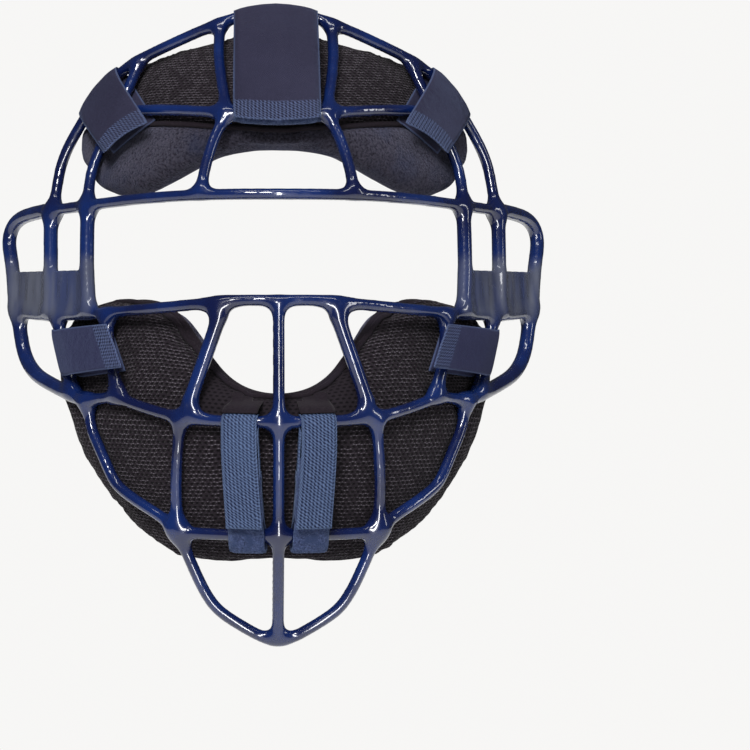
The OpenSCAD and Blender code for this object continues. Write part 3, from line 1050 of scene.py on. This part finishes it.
def coating_material():
    """Thick dipped vinyl: saturated navy with a wet gloss, greyer on the temple plates, with upright
    streaks of painted reflection there.
    """
    m = Nodes("frame_coating")
    deep = rgb(0.0030, 0.0070, 0.050)
    light = rgb(0.0050, 0.0220, 0.125)
    colour = m.mix(m.ramp(m.noise(26.0, 4.0), 0.35, 0.68), deep, light)
    wear = m.ramp(m.noise(60.0, 6.0, roughness=0.7), 0.60, 0.74)
    colour = m.mix(m.times(wear, 0.2), colour, rgb(0.03, 0.05, 0.13))
    # Near the temple plates the colour turns greyer, with upright streaks of painted reflection over
    # it.
    reflection_streak = m.add("ShaderNodeMapping", {"Vector": m.place(), "Scale": (160.0, 60.0, 14.0)})
    plate_grey_and_reflection = m.times(m.ramp(m.noise(1.0, 2.0, reflection_streak.outputs[0]), 0.3, 0.7), 0.6)
    plate_grey_and_reflection = m.times(m.plus(plate_grey_and_reflection, 0.3), m.mark("plate_grey_and_reflection"))
    colour = m.mix(plate_grey_and_reflection, colour, rgb(0.13, 0.14, 0.18))
    m.set(Base_Color=colour, Coat_Weight=1.0, Coat_Roughness=0.03, Coat_IOR=1.6,
          Specular_IOR_Level=0.5, IOR=1.45)
    m.set(Roughness=m.plus(0.24, m.times(wear, 0.18)))
    peel = m.bump(m.noise(110.0, 1.0), 0.0002, 0.12)
    fine = m.bump(m.noise(900.0, 2.0), 0.00003, 0.25, peel)
    m.set(Normal=fine, Coat_Normal=peel)
    return m.material


def spacer_mesh_material():
    """Spacer mesh: rows of small oval holes in a black knit, offset from row to row."""
    m = Nodes("spacer_mesh")
    across, up, _ = m.split(m.uv("cloth"))
    wobble = m.times(m.minus(m.noise(60.0, 2.0), 0.5), 0.5)
    row = m.plus(m.math("DIVIDE", up, 2.0 * MM), wobble)
    odd = m.math("MODULO", m.math("ABSOLUTE", m.math("FLOOR", row)), 2.0)
    column = m.plus(m.math("DIVIDE", across, 2.8 * MM), m.times(odd, 0.5))
    x = m.minus(m.math("FRACT", column), 0.5)
    y = m.minus(m.math("FRACT", row), 0.5)
    far = m.math("SQRT", m.plus(m.times(x, x), m.times(m.times(y, y), 1.3)))
    knit = m.ramp(far, 0.16, 0.42)
    yarn = m.noise(1500.0, 2.0)
    cloud = m.noise(35.0, 3.0)
    dark = m.mix(cloud, rgb(0.0045, 0.0034, 0.0050), rgb(0.0070, 0.0052, 0.0074))
    light = m.mix(yarn, rgb(0.0120, 0.0090, 0.0125), rgb(0.026, 0.020, 0.026))
    colour = m.mix(knit, dark, light)
    # Where the yarn crosses, a pale fleck is painted in: a painted highlight of the yarn catching
    # the light.
    painted_glint = m.times(m.ramp(far, 0.55, 0.66), m.ramp(m.noise(300.0, 1.0), 0.4, 0.6))
    # Between the nose bars, above the mouth bar, the pad is plain cloth.
    side, _, z = m.split(m.place())
    plain = m.times(m.ramp(z, -46 * MM, -39 * MM),
                    m.minus(1.0, m.ramp(m.math("ABSOLUTE", side), 33 * MM, 40 * MM)))
    open_knit = m.minus(1.0, m.times(plain, m.ramp(z, 30 * MM, 20 * MM)))
    colour = m.mix(m.times(m.times(painted_glint, open_knit), 0.8), colour, rgb(0.20, 0.18, 0.21))
    knit = m.times(knit, m.plus(m.times(open_knit, 0.8), 0.2))
    weave = m.bump(knit, 0.0009, 0.9)
    return m.cloth(colour, 0.75, 0.06, m.bump(yarn, 0.0002, 0.5, weave), Sheen_Roughness=0.5)


def plush_material():
    """Brushed plush: a short navy-black nap that leans this way and that, with bluish patches of
    painted sheen where it leans.
    """
    m = Nodes("plush")
    nap = m.noise(900.0, 4.0, roughness=0.7)
    lean = m.noise(45.0, 4.0)
    nap = m.ramp(nap, 0.3, 0.7)
    colour = m.mix(nap, rgb(0.009, 0.0075, 0.012), rgb(0.070, 0.064, 0.090))
    # Bluish patches where the nap leans are painted sheen.
    painted_sheen = m.times(m.ramp(lean, 0.45, 0.7), 0.5)
    colour = m.mix(painted_sheen, colour, rgb(0.018, 0.026, 0.065))
    return m.cloth(colour, 0.95, 0.35, m.bump(nap, 0.0006, 0.8, m.bump(lean, 0.0012, 0.5)),
                   Sheen_Roughness=0.45, Sheen_Tint=rgb(0.5, 0.52, 0.75))


def binding_material():
    """Folded knit tape: a fine nap on a brownish black band."""
    m = Nodes("binding")
    rib = m.noise(1100.0, 2.0)
    colour = m.mix(rib, rgb(0.008, 0.0058, 0.0085), rgb(0.026, 0.019, 0.026))
    colour = m.mix(m.ramp(m.noise(50.0, 3.0), 0.45, 0.75), colour, rgb(0.019, 0.015, 0.022))
    return m.cloth(colour, 0.85, 0.06, m.bump(rib, 0.0003, 0.7))


def thread_material():
    """Twisted sewing thread."""
    m = Nodes("thread")
    twist = m.noise(2400.0, 2.0)
    colour = m.mix(twist, rgb(0.014, 0.012, 0.02), rgb(0.06, 0.055, 0.08))
    return m.cloth(colour, 0.7, 0.1, m.bump(twist, 0.0001, 0.6), mirror=0.1)


def tape_material(name, dark, light, sheen_and_edge_colour, band):
    """Hook-and-loop backing: plain, with an open slanting twill over a band at its free end, where a
    painted sheen makes it paler.
    """
    m = Nodes(name)
    across, along, _ = m.split(m.uv("tape"))
    pitch = 1.5 * MM
    drift = m.times(m.minus(m.noise(260.0, 2.0), 0.5), 2.4 * MM)
    slant = m.plus(m.times(across, 0.75), m.plus(along, drift))
    knit = m.plus(m.times(m.wave(slant, pitch), 0.42), m.times(m.wave(across, 1.15 * pitch), 0.3))
    knit = m.plus(knit, 0.5, clamp=True)
    yarn = m.noise(1300.0, 3.0, roughness=0.65)
    cloud = m.noise(30.0, 3.0)
    end = m.minus(1.0, m.ramp(m.mark("tail"), band - 0.5 * MM, band + 0.5 * MM))
    plain = m.plus(m.times(m.wave(slant, 0.5 * pitch), 0.2), 0.42)
    knit = m.plus(m.times(knit, end), m.times(plain, m.minus(1.0, end)))
    # Within the band at the free end the colour is lifted towards the paler one: painted sheen.
    bright = m.mix(m.times(end, 0.75), light, sheen_and_edge_colour)
    grain = m.plus(m.times(yarn, 1.4), 0.3)
    colour = m.mix(m.times(knit, grain, clamp=True), dark, bright)
    colour = m.mix(m.times(m.ramp(cloud, 0.4, 0.7), 0.2), colour, light)
    # Paler towards the tape's edges and its two ends.
    paler_edge = m.minus(1.0, m.ramp(m.mark("edge"), 0.35 * MM, 0.9 * MM))
    colour = m.mix(m.times(paler_edge, 0.5), colour, sheen_and_edge_colour)
    weave = m.bump(knit, 0.0004, 0.9)
    return m.cloth(colour, 0.7, 0.1, m.bump(yarn, 0.00015, 0.6, weave), mirror=0.1,
                   Sheen_Roughness=0.4, Sheen_Tint=rgb(0.45, 0.6, 1.0))


def loop_material():
    """The soft side of hook-and-loop tape: a mat of tiny loops."""
    m = Nodes("loop_pile")
    pile = m.noise(1000.0, 5.0, roughness=0.75)
    clump = m.noise(260.0, 3.0)
    colour = m.mix(m.ramp(pile, 0.3, 0.7), rgb(0.010, 0.014, 0.040), rgb(0.085, 0.115, 0.25))
    colour = m.mix(m.ramp(clump, 0.4, 0.65), colour, rgb(0.030, 0.045, 0.11))
    return m.cloth(colour, 0.95, 0.4, m.bump(pile, 0.0008, 0.9, m.bump(clump, 0.0015, 0.6)),
                   Sheen_Tint=rgb(0.5, 0.65, 1.0))


def hook_material():
    """Rows of stiff moulded hooks."""
    m = Nodes("hook_field")
    across, along, _ = m.split(m.uv("tape"))
    x = m.wave(across, 1.3 * MM)
    y = m.wave(along, 1.0 * MM)
    stem = m.ramp(m.times(x, y), 0.1, 0.7)
    grain = m.noise(700.0, 3.0)
    colour = m.mix(stem, rgb(0.010, 0.012, 0.028), rgb(0.07, 0.08, 0.14))
    colour = m.mix(m.times(grain, 0.3), colour, rgb(0.03, 0.035, 0.07))
    m.set(Base_Color=colour, Roughness=0.5, Normal=m.bump(stem, 0.0006, 1.0))
    return m.material


def make_stage():
    size = 8.0
    low = CAD_BOX[0][2] - 0.6
    steps = 24
    places = size * (np.arange(steps + 1) / steps - 0.5)
    points = [(x, y, low) for x in places for y in places]
    m = Nodes("studio_floor")
    tone = m.mix(m.noise(3.0, 2.0), rgb(0.78, 0.78, 0.775), rgb(0.82, 0.82, 0.815))
    m.set(Base_Color=tone, Roughness=0.9, Specular_IOR_Level=0.1,
          Emission_Color=rgb(1.0, 1.0, 1.0), Emission_Strength=0.2)
    floor = mesh_object("floor", points, grid_faces(steps + 1, steps + 1), m.material)


def area_light(name, place, target, size, power, mirrored=True, lights_cloth=True):
    """A soft lamp. It may be left out of the mirror images, or of the matt light."""
    data = bpy.data.lights.new(name, "AREA")
    data.shape = "RECTANGLE"
    data.size, data.size_y = size
    data.energy = power
    light = bpy.data.objects.new(name, data)
    light.location = place
    light.rotation_euler = (Vector(target) - Vector(place)).to_track_quat("-Z", "Y").to_euler()
    light.visible_glossy = mirrored
    light.visible_diffuse = lights_cloth
    bpy.context.scene.collection.objects.link(light)


def make_studio():
    """White surroundings to look at, dim ones to light and mirror, and soft lamps."""
    scene = bpy.context.scene
    world = bpy.data.worlds.new("studio")
    scene.world = world
    world.use_nodes = True
    tree = world.node_tree
    seen = tree.nodes["Background"]
    seen.inputs["Color"].default_value = rgb(0.93, 0.925, 0.915)
    lit = tree.nodes.new("ShaderNodeBackground")
    lit.inputs["Color"].default_value = rgb(0.92, 0.95, 1.0)
    lit.inputs["Strength"].default_value = 0.05
    choose = tree.nodes.new("ShaderNodeMixShader")
    path = tree.nodes.new("ShaderNodeLightPath")
    tree.links.new(path.outputs["Is Camera Ray"], choose.inputs[0])
    tree.links.new(lit.outputs[0], choose.inputs[1])
    tree.links.new(seen.outputs[0], choose.inputs[2])
    tree.links.new(choose.outputs[0], tree.nodes["World Output"].inputs[0])
    area_light("key", (-0.35, -1.5, 0.9), (0, 0, 0), (0.25, 0.25), 9)
    area_light("tall", (0.09, -1.9, 0.2), (0, 0, 0.2), (0.24, 1.6), 25, lights_cloth=False)
    area_light("top", (0, -0.7, 1.5), (0, 0, 0), (1.6, 0.12), 5)
    area_light("side", (1.7, -0.5, 0.5), (0, 0, 0), (0.15, 0.9), 3)
    area_light("rear", (0.2, 1.5, 1.6), (0, 0, 0), (1.0, 1.0), 22, mirrored=False)
    data = bpy.data.lights.new("sun", "SUN")
    data.energy = 2.1
    data.angle = math.radians(30)
    sun = bpy.data.objects.new("sun", data)
    sun.rotation_euler = (math.radians(52), 0, math.radians(-12))
    sun.visible_glossy = False
    scene.collection.objects.link(sun)
    scene.view_settings.view_transform = "Standard"


def make_camera():
    data = bpy.data.cameras.new("camera")
    data.lens = data.sensor_width * CAMERA_DISTANCE / FRAME_WIDTH
    data.shift_x = SHIFT_X
    data.shift_y = SHIFT_Y
    camera = bpy.data.objects.new("camera", data)
    camera.location = (CAMERA_DISTANCE * math.sin(YAW), -CAMERA_DISTANCE * math.cos(YAW), 0)
    camera.rotation_euler = (math.radians(90), 0, YAW)
    bpy.context.scene.collection.objects.link(camera)
    bpy.context.scene.camera = camera


# ---- Main ----

make_camera()
make_studio()
make_stage()
field = coating_field()
make_cage(field, coating_material())
thread = thread_material()
binding = binding_material()
cover = spacer_mesh_material()
plush = plush_material()
for pad in ("upper_pad", "lower_pad"):
    piece = make_pad(pad, field, cover, plush, binding, thread)
    make_binding(pad, piece, field, binding, thread)
lower_skin = skin_tree(piece)
fuzz = loop_material()
hooks = hook_material()
# The third colour is the painted sheen in the band at a tape's free end, and the paler tone of its
# edges.
dusk = tape_material("strap_tape", rgb(0.010, 0.009, 0.022), rgb(0.056, 0.054, 0.100),
                     rgb(0.100, 0.135, 0.26), 11 * MM)
navy = tape_material("strap_tape_navy", rgb(0.010, 0.010, 0.030), rgb(0.058, 0.062, 0.140),
                     rgb(0.100, 0.135, 0.26), 11 * MM)
blue = tape_material("strap_tape_blue", rgb(0.008, 0.013, 0.042), rgb(0.088, 0.140, 0.27),
                     rgb(0.12, 0.17, 0.31), 1.0)
for name in STRAPS:
    tape = {"chin": blue, "cheek": navy}.get(name.split("_")[0], dusk)
    make_strap(name, lower_skin, tape, fuzz, hooks, binding)
